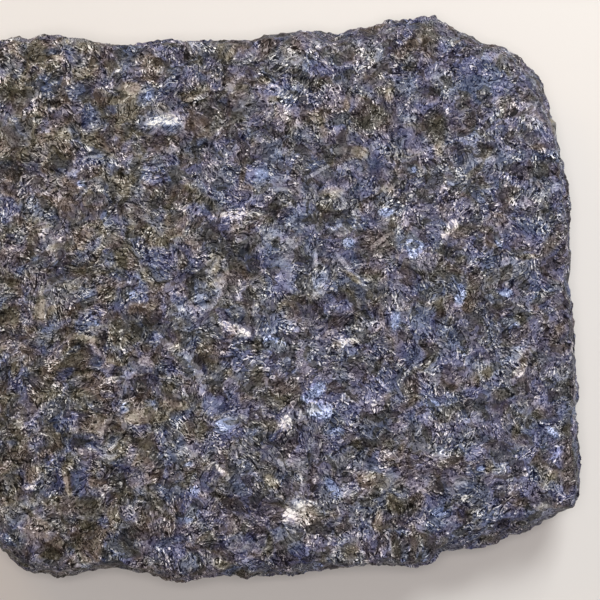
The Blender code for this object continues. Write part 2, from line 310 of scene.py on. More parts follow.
DARK_MARKS = (
    (87, 117, 24, 9, 80), (70, 119, 12, 10), (112, 65, 14, 10), (178, 93, 46, 9), (165, 148, 16, 10),
    (20, 166, 45, 20), (376, 172, 32, 10, 85), (340, 180, 18, 9), (265, 127, 16, 12), (368, 36, 34, 8),
    (387, 103, 14, 14), (238, 137, 14, 10), (427, 92, 28, 12), (436, 125, 32, 22, 80),
    (460, 155, 24, 8, 85), (487, 148, 22, 12), (472, 189, 22, 16, 80), (530, 135, 20, 10),
    (68, 270, 36, 14, -8), (90, 267, 22, 8, -5), (150, 327, 52, 24, -12), (85, 358, 46, 22, 22),
    (150, 380, 22, 20), (190, 279, 22, 14, -20), (185, 265, 18, 9, -20), (281, 212, 22, 8, -10),
    (310, 220, 26, 9), (274, 257, 14, 6, 20), (240, 262, 52, 26, -5), (305, 262, 18, 14),
    (303, 306, 32, 20, 10), (318, 312, 12, 7, 30), (342, 320, 24, 15), (366, 312, 22, 8, -70),
    (245, 320, 22, 12, -10), (450, 253, 24, 15, -25), (405, 270, 18, 12), (457, 333, 22, 14),
    (485, 355, 22, 9), (345, 218, 18, 12, -40), (55, 423, 14, 10, 90), (20, 437, 18, 8, 35),
    (110, 486, 30, 20, 20), (168, 425, 10, 8, 60), (60, 516, 40, 5, -8), (130, 535, 18, 16),
    (55, 554, 16, 12), (225, 409, 12, 8), (310, 460, 16, 6, 85), (315, 487, 16, 9), (250, 505, 62, 18, 5),
    (330, 523, 14, 4, 35), (395, 544, 34, 9, -80), (385, 510, 16, 10, -50), (442, 474, 16, 11),
    (443, 484, 16, 8), (463, 510, 18, 12), (500, 404, 18, 9), (90, 535, 30, 12, 85),
    (10, 277, 24, 8, -15), (66, 372, 22, 14, 30), (85, 352, 30, 16, -30), (114, 432, 18, 18),
    (75, 440, 34, 14, -10), (218, 543, 16, 18), (255, 322, 30, 10, -15), (205, 362, 22, 20),
    (15, 335, 30, 12), (232, 464, 16, 8, -30), (540, 156, 14, 8), (427, 182, 18, 14),
)
BROWN_MARKS = (
    (12, 95, 26, 18), (155, 63, 16, 8), (267, 50, 20, 15, 80), (375, 120, 42, 26, 5),
    (430, 35, 30, 18, 85), (436, 126, 32, 22, 80), (123, 255, 34, 17, -55), (118, 330, 30, 8, 85),
    (232, 278, 36, 20, 75), (237, 230, 13, 10, -20), (285, 390, 30, 24, 20), (472, 291, 34, 12, 80),
    (440, 310, 14, 10, 70), (520, 320, 20, 10, -60), (548, 246, 26, 13, 60), (486, 230, 12, 8),
    (410, 387, 18, 16), (538, 413, 14, 10), (515, 430, 16, 8, 80), (203, 430, 20, 9, 80),
    (270, 425, 18, 14), (15, 458, 32, 20, 20), (75, 505, 52, 16, -6), (190, 427, 16, 14),
    (78, 540, 22, 12, 80), (270, 545, 22, 7, 88), (415, 503, 22, 15, 60), (488, 541, 16, 8),
    (568, 465, 44, 14, 88), (378, 245, 32, 26), (395, 545, 30, 8, -80), (257, 345, 18, 10, 80),
    (17, 368, 16, 8, 70), (243, 175, 20, 6, 80), (35, 240, 34, 10, 80), (445, 463, 20, 9),
    (413, 545, 30, 6, 88), (500, 394, 16, 12), (147, 347, 14, 9), (400, 505, 20, 14), (258, 373, 14, 16),
    (474, 172, 22, 7, 40), (463, 231, 22, 12, 20), (372, 275, 28, 12, -15),
)
HAZE_MARKS = (
    (272, 92, 30, 27, 60), (262, 177, 26, 21), (300, 360, 36, 20, 80), (378, 478, 58, 20, -5),
    (170, 292, 24, 15, 75), (170, 346, 34, 9, -38), (190, 367, 28, 10, -50), (476, 370, 26, 16, 40),
    (450, 523, 19, 14, 60), (118, 550, 32, 12, -35), (420, 482, 22, 18), (110, 358, 24, 18, 60),
    (233, 377, 22, 12), (283, 272, 30, 26, 80), (534, 76, 38, 12, -48), (500, 470, 32, 10, -5),
    (35, 530, 50, 26, -5), (25, 140, 40, 16), (45, 300, 40, 18, 88), (285, 112, 30, 9),
    (140, 485, 22, 12), (250, 548, 24, 15), (553, 122, 50, 8, -82), (575, 400, 90, 6, 88),
    (213, 405, 16, 20),
)
TAN_MARKS = (
    (57, 138, 36, 9, 5), (108, 102, 46, 7, 3), (348, 97, 30, 7, 82), (40, 44, 12, 8), (42, 60, 12, 8),
    (266, 80, 12, 10), (273, 100, 14, 7), (411, 45, 13, 12), (70, 345, 24, 8, 50), (170, 238, 28, 12, 28),
    (147, 232, 20, 13, -60), (55, 308, 8, 6), (45, 315, 18, 14), (50, 372, 16, 12), (145, 416, 38, 14, 5),
    (115, 512, 36, 12, 85), (93, 475, 18, 8, 85), (68, 478, 32, 8, -80), (33, 474, 16, 11, 60),
    (98, 548, 22, 12, 85), (392, 503, 24, 14, -45), (378, 520, 20, 9, 80), (222, 563, 22, 12),
    (467, 308, 12, 9), (525, 257, 22, 6), (555, 335, 22, 10, 60), (487, 372, 16, 10, 80),
    (520, 503, 22, 10, 30), (478, 525, 22, 10, 75), (378, 480, 50, 16, -5), (347, 343, 24, 8),
    (300, 514, 34, 20), (351, 276, 28, 6, -38), (41, 305, 34, 7, 85), (538, 148, 16, 8),
)
BLUE_MARKS = (
    (150, 96, 12, 8, 80), (87, 117, 24, 8, 80), (111, 111, 12, 10), (76, 93, 22, 14), (48, 87, 22, 20),
    (155, 174, 23, 21), (275, 90, 28, 12), (340, 122, 22, 17), (262, 176, 26, 21), (311, 165, 14, 10),
    (310, 105, 12, 10), (480, 80, 48, 30), (492, 90, 18, 12), (460, 155, 24, 7, 85), (530, 155, 22, 10),
    (110, 258, 16, 14), (125, 275, 28, 11, -10), (160, 262, 34, 26, 60), (195, 212, 20, 14, 80),
    (138, 290, 22, 20), (303, 210, 23, 14, -5), (204, 210, 14, 11), (360, 225, 14, 12),
    (350, 257, 22, 10, -25), (283, 275, 34, 28, 80), (235, 358, 26, 20, 30), (280, 335, 34, 28, 80),
    (385, 380, 24, 20, -30), (320, 398, 26, 16, 30), (333, 395, 20, 10, 20), (425, 293, 26, 14, -10),
    (455, 290, 30, 12, -65), (440, 290, 12, 9), (425, 325, 42, 28), (510, 322, 24, 11, -10),
    (535, 281, 17, 13, 60), (485, 256, 36, 20, -10), (530, 228, 42, 22, -30), (498, 243, 15, 8, -60),
    (545, 290, 14, 10), (412, 357, 20, 16), (460, 352, 32, 14, -50), (440, 395, 40, 14, -20),
    (480, 395, 24, 12, -20), (72, 420, 28, 17, 10), (57, 475, 34, 12, -65), (82, 475, 30, 22, 80),
    (105, 522, 12, 10), (130, 520, 16, 10, 70), (190, 505, 30, 20, 70), (225, 428, 22, 17),
    (238, 434, 18, 13), (248, 538, 14, 9), (305, 552, 28, 14), (350, 408, 22, 10, -10),
    (335, 430, 18, 13), (375, 543, 11, 8, 60), (432, 404, 20, 10), (415, 415, 20, 16),
    (480, 468, 13, 10, 70), (510, 458, 40, 24, -15), (530, 475, 16, 11), (556, 453, 22, 10, 55),
    (548, 430, 22, 13, -50), (567, 498, 15, 12), (490, 516, 28, 22), (505, 520, 14, 14),
    (404, 555, 20, 8, 85), (425, 555, 16, 8, 85), (470, 541, 34, 8, 10), (505, 530, 26, 8, 8),
    (182, 538, 14, 10), (118, 550, 32, 12, -35), (320, 409, 28, 18, -10), (35, 258, 9, 6),
    (98, 314, 20, 12, 70), (70, 552, 12, 8, 60), (333, 487, 26, 11, -60), (413, 243, 30, 11, 85),
    (275, 335, 40, 30, 80), (213, 405, 16, 20), (374, 168, 34, 12, 80), (320, 72, 18, 12),
)
# Flash marks are the blue schiller of some crystals, painted into the colour as a blue sheen.
FLASH_MARKS = (
    (150, 96, 10, 6, 80), (413, 243, 32, 13, 85), (420, 246, 14, 7, 80), (320, 409, 26, 17, -10),
    (275, 345, 20, 14, -20), (412, 170, 8, 8), (458, 300, 14, 9, 60), (510, 322, 20, 8, -10),
    (505, 293, 13, 8), (314, 392, 26, 12, 35), (385, 213, 14, 8), (348, 243, 14, 11),
    (57, 455, 14, 9, 70), (190, 463, 11, 6, 20), (192, 512, 18, 10, 70), (195, 490, 12, 10),
    (225, 425, 16, 12), (440, 512, 18, 10), (551, 432, 14, 7, -50), (555, 453, 16, 6, 55),
    (333, 487, 22, 8, -60), (318, 567, 11, 8), (498, 243, 14, 5, -60), (432, 403, 14, 7),
    (425, 556, 12, 6, 80), (404, 556, 12, 6, 80), (337, 431, 12, 8), (150, 402, 14, 7),
    (127, 406, 12, 9, 40), (395, 320, 18, 9, 80), (82, 184, 9, 7), (98, 321, 9, 6, 80), (132, 294, 9, 8),
    (262, 175, 14, 10), (480, 468, 8, 6), (461, 290, 16, 6, -60),
)
# All marks by kind, three kinds to each vector that the mesh keeps for its points. Beige marks are
# both pale and tan.
MARKS = {
    "mark_light": {"pale": PALE_MARKS + BEIGE_MARKS, "white": PAINTED_GLINT_MARKS, "line": LINE_MARKS},
    "mark_deep": {"dark": DARK_MARKS, "brown": BROWN_MARKS, "haze": HAZE_MARKS},
    "mark_hue": {"tan": TAN_MARKS + BEIGE_MARKS, "blue": BLUE_MARKS, "flash": FLASH_MARKS},
}

# The map for baking, in millimetres: for each part of the surface the place of the stone's middle
# and how the map's two axes run over X, Y and Z. The underside is drawn at half size.
MAP_SIDE = 226.0
MAP_LENGTH = 144.0
MAP_WIDTH = 130.0
MAP_PARTS = {
    "top": ((75.0, 68.0), (1.0, 0.0, 0.0), (0.0, 1.0, 0.0)),
    "under": ((187.0, 35.0), (-0.5, 0.0, 0.0), (0.0, 0.5, 0.0)),
    "south": ((75.0, 138.0), (1.0, 0.0, 0.0), (0.0, 0.0, 1.0)),
    "north": ((75.0, 170.0), (-1.0, 0.0, 0.0), (0.0, 0.0, 1.0)),
    "east": ((180.0, 142.0), (0.0, 0.0, -1.0), (0.0, 1.0, 0.0)),
    "west": ((212.0, 142.0), (0.0, 0.0, -1.0), (0.0, -1.0, 0.0)),
}


def linear(red, green, blue):
    """A colour from 0 to 255 values, as a screen shows it, in the values that a shader takes."""
    shares = []
    for value in (red, green, blue):
        share = value / 255
        if share <= 0.04045:
            shares.append(share / 12.92)
        else:
            shares.append(((share + 0.055) / 1.055) ** 2.4)
    return tuple(shares)


class LarvikiteShape(bpy.types.PropertyGroup):
    """The sizes of the stone's crystals and of its broken relief."""

    crystal: bpy.props.FloatProperty(
        name="Crystal size",
        description="How far apart the middles of the feldspar crystals lie",
        default=0.0075,
        min=0.002,
        max=0.03,
        unit="LENGTH",
    )
    grain: bpy.props.FloatProperty(
        name="Grain size",
        description="Size of the grains inside a crystal",
        default=0.0026,
        min=0.0005,
        max=0.01,
        unit="LENGTH",
    )
    lean: bpy.props.FloatProperty(
        name="Crystal lean",
        description="How far a crystal's broken face may lean out of the slab's face",
        default=math.radians(8),
        min=0.0,
        max=math.radians(40),
        subtype="ANGLE",
        unit="ROTATION",
    )
    step: bpy.props.FloatProperty(
        name="Cleavage step",
        description="Height of the small steps across a broken crystal",
        default=0.0002,
        min=0.0,
        max=0.002,
        unit="LENGTH",
    )
    relief: bpy.props.FloatProperty(
        name="Relief limit",
        description="Most that the broken relief may stand out or in",
        default=0.0011,
        min=0.0,
        max=0.003,
        unit="LENGTH",
    )


class LarvikiteColours(bpy.types.PropertyGroup):
    """The colours of the stone's minerals."""

    grey: bpy.props.FloatVectorProperty(
        name="Grey feldspar",
        description="Hue of the plain blue-grey feldspar",
        default=linear(127, 125, 146),
        min=0.0,
        max=1.0,
        size=3,
        subtype="COLOR",
    )
    tan: bpy.props.FloatVectorProperty(
        name="Tan feldspar",
        description="Hue of stained, beige feldspar",
        default=linear(135, 124, 114),
        min=0.0,
        max=1.0,
        size=3,
        subtype="COLOR",
    )
    clot: bpy.props.FloatVectorProperty(
        name="Dark mineral",
        description="Hue of the brown and olive grains between the crystals",
        default=linear(134, 125, 113),
        min=0.0,
        max=1.0,
        size=3,
        subtype="COLOR",
    )
    # The hue of the painted blue sheen that the flash marks carry.
    flash: bpy.props.FloatVectorProperty(
        name="Blue flash",
        description="Hue of the crystals that shine blue",
        default=linear(115, 123, 162),
        min=0.0,
        max=1.0,
        size=3,
        subtype="COLOR",
    )


class LarvikiteStage(bpy.types.PropertyGroup):
    """The floor, the lights and the camera."""

    floor: bpy.props.FloatVectorProperty(
        name="Floor",
        description="Colour of the plain floor",
        default=(0.80, 0.775, 0.765),
        min=0.0,
        max=1.0,
        size=3,
        subtype="COLOR",
    )
    key: bpy.props.FloatProperty(
        name="Key light",
        description="Power of the soft light above the back right",
        default=1.766,
        min=0.0,
        unit="POWER",
    )
    overhead: bpy.props.FloatProperty(
        name="Overhead light",
        description="Power of the soft light straight above",
        default=3.167,
        min=0.0,
        unit="POWER",
    )
    warm: bpy.props.FloatProperty(
        name="Warm light",
        description="Power of the weak warm light above the back left",
        default=0.533,
        min=0.0,
        unit="POWER",
    )
    room: bpy.props.FloatProperty(
        name="Room light",
        description="Strength of the even light from all round",
        default=0.20,
        min=0.0,
        max=5.0,
    )


class Graph:
    """Builds a node tree, of a shader or of geometry, one node at a time."""

    def __init__(self, tree):
        self.tree = tree

    def feed(self, socket, value):
        """Links a result to a socket, or sets the socket's own value."""
        if isinstance(value, bpy.types.NodeSocket):
            self.tree.links.new(value, socket)
        elif isinstance(value, (int, float)) and socket.type in {"VECTOR", "RGBA"}:
            socket.default_value = [value] * len(socket.default_value)
        elif socket.type == "RGBA" and len(value) == 3:
            socket.default_value = (*value, 1.0)
        else:
            socket.default_value = value

    def node(self, kind, settings, inputs):
        """One node, with its settings and its inputs by name or by number."""
        made = self.tree.nodes.new(kind)
        for name, value in settings.items():
            setattr(made, name, value)
        for name, value in inputs.items():
            self.feed(made.inputs[name], value)
        return made

    def math(self, operation, first, second=0.0, third=0.0, clamp=False):
        settings = {"operation": operation, "use_clamp": clamp}
        return self.node("ShaderNodeMath", settings, {0: first, 1: second, 2: third}).outputs[0]

    def times(self, first, second):
        return self.math("MULTIPLY", first, second)

    def sloped(self, value, slope, base):
        """The value times a slope, plus a base."""
        return self.math("MULTIPLY_ADD", value, slope, base)

    def vector(self, operation, first, second=(0.0, 0.0, 0.0)):
        made = self.node("ShaderNodeVectorMath", {"operation": operation}, {0: first, 1: second})
        return made.outputs["Value"] if operation == "DOT_PRODUCT" else made.outputs["Vector"]

    def scaled(self, vector, factor):
        made = self.node("ShaderNodeVectorMath", {"operation": "SCALE"}, {0: vector, "Scale": factor})
        return made.outputs["Vector"]

    def noise(self, place, size, detail, roughness=0.5):
        """Smooth noise of a size: a value, and a colour of three values."""
        inputs = {"Vector": place, "Scale": 1 / size, "Detail": detail, "Roughness": roughness}
        made = self.node("ShaderNodeTexNoise", {"noise_dimensions": "3D"}, inputs)
        return made.outputs[0], made.outputs[1]

    def cells(self, place, size):
        """Cells of a size: three chances of each cell as a colour, and its middle."""
        settings = {"voronoi_dimensions": "3D", "feature": "F1"}
        made = self.node("ShaderNodeTexVoronoi", settings, {"Vector": place, "Scale": 1 / size})
        return made.outputs["Color"], made.outputs["Position"]

    def border(self, place, size):
        """How far off the same cells' nearest border is, as a share of their size."""
        settings = {"voronoi_dimensions": "3D", "feature": "DISTANCE_TO_EDGE"}
        made = self.node("ShaderNodeTexVoronoi", settings, {"Vector": place, "Scale": 1 / size})
        return made.outputs["Distance"]

    def parts(self, vector):
        made = self.node("ShaderNodeSeparateXYZ", {}, {0: vector})
        return made.outputs[0], made.outputs[1], made.outputs[2]

    def joined(self, x, y, z):
        return self.node("ShaderNodeCombineXYZ", {}, {0: x, 1: y, 2: z}).outputs[0]

    def turned(self, place, turn):
        settings = {"rotation_type": "EULER_XYZ"}
        made = self.node("ShaderNodeVectorRotate", settings, {"Vector": place, "Rotation": turn})
        return made.outputs[0]

    def ranged(self, value, low, high, to_low=0.0, to_high=1.0, smooth=False):
        kind = "SMOOTHSTEP" if smooth else "LINEAR"
        inputs = {0: value, 1: low, 2: high, 3: to_low, 4: to_high}
        return self.node("ShaderNodeMapRange", {"interpolation_type": kind}, inputs).outputs[0]

    def limited(self, value, low, high):
        return self.math("MINIMUM", self.math("MAXIMUM", value, low), high)

    def mixed(self, share, first, second):
        inputs = {0: share, 6: first, 7: second}
        return self.node("ShaderNodeMix", {"data_type": "RGBA"}, inputs).outputs[2]

    def ramp(self, value, stops):
        """A ramp of greys: stops are pairs of a place and a lightness."""
        made = self.node("ShaderNodeValToRGB", {}, {0: value})
        elements = made.color_ramp.elements
        for place, light in stops[1:-1]:
            elements.new(place)
        for element, (place, light) in zip(elements, stops):
            element.position = place
            element.color = (light, light, light, 1.0)
        return made.outputs[0]


def pushed(graph, place, size, reach, detail):
    """The place, pushed about by noise of a size, up to about a reach."""
    noise = graph.noise(place, size, detail)[1]
    push = graph.vector("SUBTRACT", noise, HALF)
    return graph.vector("ADD", place, graph.scaled(push, reach / NOISE_SWING))


def ragged(graph, place):
    """The place, pushed about so that cell borders wander as crystal borders do."""
    return pushed(graph, pushed(graph, place, *WIDE_WANDER), *NEAR_WANDER)


def crystal_turn(graph, chances):
    """The way that each crystal's cleavage runs, from its three chances."""
    x, y, z = graph.parts(chances)
    tip = graph.sloped(x, CRYSTAL_TIP, -CRYSTAL_TIP / 2)
    roll = graph.sloped(y, CRYSTAL_TIP, -CRYSTAL_TIP / 2)
    turn = graph.times(z, 4 * math.pi)
    return graph.joined(tip, roll, turn)


def leaning(graph, place, size, slope, chance, rise, border, left):
    """Cells that lean and stand out by chance and sink at their border: height, and chances."""
    chances, middle = graph.cells(place, size)
    tilt = graph.scaled(graph.vector("SUBTRACT", chances, HALF), slope)
    height = graph.vector("DOT_PRODUCT", graph.vector("SUBTRACT", place, middle), tilt)
    lift = graph.sloped(graph.parts(chances)[chance], rise, -rise / 2)
    inside = graph.ranged(graph.border(place, size), 0.0, border, left, 1.0)
    return graph.times(graph.math("ADD", height, lift), inside), chances


def relief_tree(shape):
    """A geometry node tree that breaks the surface into leaning crystals with small steps."""
    tree = bpy.data.node_groups.new("Larvikite relief", "GeometryNodeTree")
    for way in ("INPUT", "OUTPUT"):
        tree.interface.new_socket("Geometry", in_out=way, socket_type="NodeSocketGeometry")
    graph = Graph(tree)
    into = graph.node("NodeGroupInput", {}, {})
    place = graph.scaled(graph.node("GeometryNodeInputPosition", {}, {}).outputs[0], 1 / MM)
    frayed = ragged(graph, place)

    slope = 2 * math.tan(shape.lean)
    height, chances = leaning(graph, frayed, shape.crystal / MM, slope, **CRYSTAL_RELIEF)
    small = leaning(graph, frayed, shape.grain / MM, GRAIN_SLOPE, **GRAIN_RELIEF)[0]
    hollow = graph.math("SUBTRACT", graph.noise(place, *HOLLOWS)[0], 0.5)
    height = graph.sloped(hollow, HOLLOW_HEIGHT, height)
    coarse = graph.node("GeometryNodeInputNamedAttribute", {}, {"Name": "coarse_share"})
    height = graph.sloped(height, coarse.outputs[0], small)

    along = graph.parts(graph.turned(place, crystal_turn(graph, chances)))[1]
    along = graph.math("DIVIDE", along, STEP_LENGTH)
    steps = graph.math("FRACT", graph.math("ADD", along, graph.noise(place, *WAVER)[0]))
    height = graph.sloped(steps, shape.step / MM, height)
    rough = graph.noise(place, *ROUGH)[0]
    rough = graph.sloped(rough, ROUGH_HEIGHT, -ROUGH_HEIGHT / 2)
    height = graph.math("ADD", height, rough)

    limit = shape.relief / MM
    height = graph.limited(height, -limit, limit)
    share = graph.node("GeometryNodeInputNamedAttribute", {}, {"Name": "relief_share"})
    height = graph.times(height, share.outputs[0])
    normal = graph.node("GeometryNodeInputNormal", {}, {}).outputs[0]
    offset = graph.scaled(normal, graph.times(height, MM))
    moved = graph.node("GeometryNodeSetPosition", {}, {"Geometry": into.outputs[0], "Offset": offset})
    graph.node("NodeGroupOutput", {}, {0: moved.outputs[0]})
    return tree


def fetched(items, field, width=3, kind=np.float32):
    """A field of a mesh's items as an array, with a row for each item."""
    values = np.empty(len(items) * width, kind)
    items.foreach_get(field, values)
    return values.reshape(-1, width)


def store(mesh, name, kind, values):
    """Keeps a value for each vertex in a named attribute."""
    attribute = mesh.attributes.new(name, kind, "POINT")
    field = "vector" if kind == "FLOAT_VECTOR" else "value"
    attribute.data.foreach_set(field, np.asarray(values, np.float32).ravel())


def select_faces(mesh, wanted):
    """Selects just the faces whose number is true in wanted."""
    mesh.polygons.foreach_set("select", np.asarray(wanted, bool))
    for kind in (mesh.vertices, mesh.edges):
        kind.foreach_set("select", np.zeros(len(kind), bool))


def face_kinds(mesh):
    """For each face, whether it belongs to the top, a side or the underside."""
    up = fetched(mesh.polygons, "normal")[:, 2]
    return np.where(up > UP_NORMAL, TOP, np.where(up < -UP_NORMAL, UNDER, SIDE))


def copied_slab(context):
    """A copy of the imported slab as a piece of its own, its loose triangles merged."""
    bpy.ops.object.select_all(action="DESELECT")
    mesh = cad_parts[SLAB_NODE].data.copy()
    mesh.name = STONE_NAME
    mesh.materials.clear()
    stone = bpy.data.objects.new(STONE_NAME, mesh)
    context.scene.collection.objects.link(stone)
    stone.select_set(True)
    context.view_layer.objects.active = stone
    bpy.ops.object.mode_set(mode="EDIT")
    bpy.ops.mesh.select_all(action="SELECT")
    bpy.ops.mesh.remove_doubles(threshold=MERGE_DISTANCE)
    bpy.ops.object.mode_set(mode="OBJECT")
    if mesh.has_custom_normals:
        bpy.ops.mesh.customdata_custom_splitnormals_clear()
    return stone


def face_parts(mesh):
    """Where each face belongs, as the mesh keeps it."""
    return fetched(mesh.attributes["part"].data, "value", 1, np.int32)[:, 0]


def cut_finer(stone):
    """Cuts the faces of the top, then the sides, then the underside into smaller ones."""
    mesh = stone.data
    part = mesh.attributes.new("part", "INT", "FACE")
    part.data.foreach_set("value", face_kinds(mesh).astype(np.int32))
    bpy.context.tool_settings.mesh_select_mode = (False, False, True)
    for kind, cuts in CUTS.items():
        select_faces(mesh, face_parts(mesh) == kind)
        bpy.ops.object.mode_set(mode="EDIT")
        bpy.ops.mesh.subdivide(number_cuts=cuts)
        bpy.ops.mesh.select_all(action="SELECT")
        bpy.ops.mesh.quads_convert_to_tris(quad_method="SHORTEST_DIAGONAL", ngon_method="BEAUTY")
        bpy.ops.object.mode_set(mode="OBJECT")


def apply_modifier(stone, name, kind, settings):
    """Adds a modifier with its settings, and applies it."""
    modifier = stone.modifiers.new(name, kind)
    for setting, value in settings.items():
        setattr(modifier, setting, value)
    bpy.ops.object.modifier_apply(modifier=name)


def mark_field(east, north, marks):
    """How near each vertex lies to a mark: 1 in a mark's middle, 0.5 on its outline, 0 far off."""
    field = np.zeros(len(east))
    for x, y, length, width, *turn in marks:
        over = east - (x - MIDDLE_PIXEL[0]) * PIXEL
        up = north - (MIDDLE_PIXEL[1] - y) * PIXEL
        angle = math.radians(sum(turn))
        cosine, sine = math.cos(angle), math.sin(angle)
        along = (over * cosine + up * sine) / (length / 2 * PIXEL)
        across = (up * cosine - over * sine) / (width / 2 * PIXEL)
        field = np.maximum(field, 1 - 0.5 * np.hypot(along, across))
    return field


def place_marks(mesh):
    """Keeps in the mesh how near each of its vertices lies to every kind of mark."""
    places = fetched(mesh.vertices, "co")
    top = places[:, 2] > MARK_LOWEST
    for name, kinds in MARKS.items():
        fields = [mark_field(places[:, 0], places[:, 1], marks) * top for marks in kinds.values()]
        store(mesh, name, "FLOAT_VECTOR", np.stack(fields, axis=1))


def break_surface(stone, shape):
    """Gives the finely cut copy its crystals, steps and grains, and keeps the resting spot flat."""
    mesh = stone.data
    lifted = np.nonzero(fetched(mesh.vertices, "co")[:, 2] > RESTING_HEIGHT)[0]
    stone.vertex_groups.new(name="lifted").add(lifted.tolist(), 1.0, "REPLACE")
    settings = {"factor": SMOOTH_SHARE, "iterations": SMOOTH_TURNS, "vertex_group": "lifted"}
    apply_modifier(stone, "Ease facets", "SMOOTH", settings)
    stone.vertex_groups.clear()
    places = fetched(mesh.vertices, "co")
    upright = 1 - np.abs(fetched(mesh.vertices, "normal")[:, 2])
    share = np.clip(places[:, 2] / RELIEF_FADE, 0, 1)
    store(mesh, "coarse_share", "FLOAT", 1 - SIDE_CALM * upright)
    store(mesh, "relief_share", "FLOAT", share)
    store(mesh, "rest_place", "FLOAT_VECTOR", places / MM)
    place_marks(mesh)
    apply_modifier(stone, "Crystals", "NODES", {"node_group": relief_tree(shape)})
    lay_map(mesh)
    for name in ("relief_share", "coarse_share", "part"):
        mesh.attributes.remove(mesh.attributes[name])
    bpy.ops.object.shade_smooth_by_angle(angle=SMOOTH_ANGLE)


def lay_map(mesh):
    """Lays the top, the underside and the four sides beside each other on a map for baking."""
    corners = fetched(mesh.loops, "vertex_index", 1, np.int32)[:, 0]
    corner_places = fetched(mesh.attributes["rest_place"].data, "vector")[corners]
    faces = corner_places.reshape(-1, 3, 3).mean(axis=1)
    part = face_parts(mesh)
    end_face = np.abs(faces[:, 0]) * MAP_WIDTH > np.abs(faces[:, 1]) * MAP_LENGTH
    ends = np.where(faces[:, 0] > 0, "east", "west")
    which = np.where(end_face, ends, np.where(faces[:, 1] > 0, "north", "south"))
    which = np.where(part == TOP, "top", np.where(part == UNDER, "under", which))
    which = np.repeat(which, 3)
    flat = np.empty((len(corners), 2), np.float32)
    for name, (start, across, upwards) in MAP_PARTS.items():
        chosen = which == name
        for axis, steps in enumerate((across, upwards)):
            flat[chosen, axis] = start[axis] + corner_places[chosen] @ np.array(steps)
    layer = mesh.uv_layers.new(name="OFBake")
    layer.data.foreach_set("uv", (flat / MAP_SIDE).astype(np.float32).ravel())


def centred(graph, value, share, base):
    """base plus share times how far a value from 0 to 1 lies from its middle."""
    return graph.sloped(graph.math("SUBTRACT", value, 0.5), share, base)


def towards(graph, value, level, share):
    """The value moved by a share of the way to a level."""
    return graph.sloped(graph.math("SUBTRACT", level, value), share, value)


def vein(graph, value, width):
    """1 on the line where noise crosses its middle, falling to 0 at a width on both sides."""
    off = graph.math("ABSOLUTE", graph.math("SUBTRACT", value, 0.5))
    return graph.ranged(off, width, 0.0, smooth=True)


def tint(colour):
    """A colour's hue alone, as a screen shows it: the colour made as light as a plain white."""
    shown = [value ** (1 / SCREEN_GAMMA) for value in colour]
    light = sum(weight * value for weight, value in zip(LIGHT_WEIGHTS, shown))
    return tuple(value / light for value in shown)


def squeezed(graph, place, size):
    """The place, with its three directions measured in the three lengths of a size."""
    return graph.vector("MULTIPLY", place, tuple(1 / length for length in size))


def spread(graph, layers, shares, base):
    """base, moved both ways by named layers, each with its share."""
    for name, share in shares.items():
        base = centred(graph, layers[name], share, base)
    return base


def added(graph, layers, shares, base):
    """base plus named layers, each times its share."""
    for name, share in shares.items():
        base = graph.sloped(layers[name], share, base)
    return base


def kept(graph, name):
    """The vector that the mesh keeps under a name."""
    return graph.node("ShaderNodeAttribute", {"attribute_name": name}, {}).outputs["Vector"]


def keep_chances(graph, layers, name, chances):
    """Adds a cell's three chances to the layers, as name, name_second and name_third."""
    for end, chance in zip(("", "_second", "_third"), graph.parts(chances)):
        layers[name + end] = chance


def pale_net(graph, grains, width):
    """Where a grain's pale border runs: 1 on it and 0 inside the grain."""
    inside = graph.math("SUBTRACT", width, graph.border(grains, 1.0))
    return graph.ranged(inside, -NET_EDGE, NET_EDGE)


def plate_edges(graph, layers, plates, middle):
    """Adds the cracks and the lit edges along the border of plates to the layers."""
    side = graph.vector("DOT_PRODUCT", graph.vector("SUBTRACT", plates, middle), PLATE_SIDE)
    border = graph.border(plates, 1.0)
    for name, (reach, chance, picked, lies) in PLATE_EDGES.items():
        picked = graph.ranged(layers[chance], *picked)
        mask = graph.times(graph.ranged(border, *reach), picked)
        layers[name] = graph.times(mask, graph.ranged(side, *lies))


def placed_marks(graph, layers, fray):
    """Adds the marks to the layers: frayed ones by kind, and soft ones as soft_ and the kind."""
    for name, kinds in MARKS.items():
        for kind, field in zip(kinds, graph.parts(kept(graph, name))):
            if kind in LEVELS or kind in THIN_KINDS:
                share, edge = THIN_EDGE if kind in THIN_KINDS else WIDE_EDGE
                layers[kind] = graph.ranged(graph.sloped(fray, share, field), *edge)
            if kind in SOFT_KINDS:
                layers["soft_" + kind] = graph.ranged(field, *SOFT_EDGE)


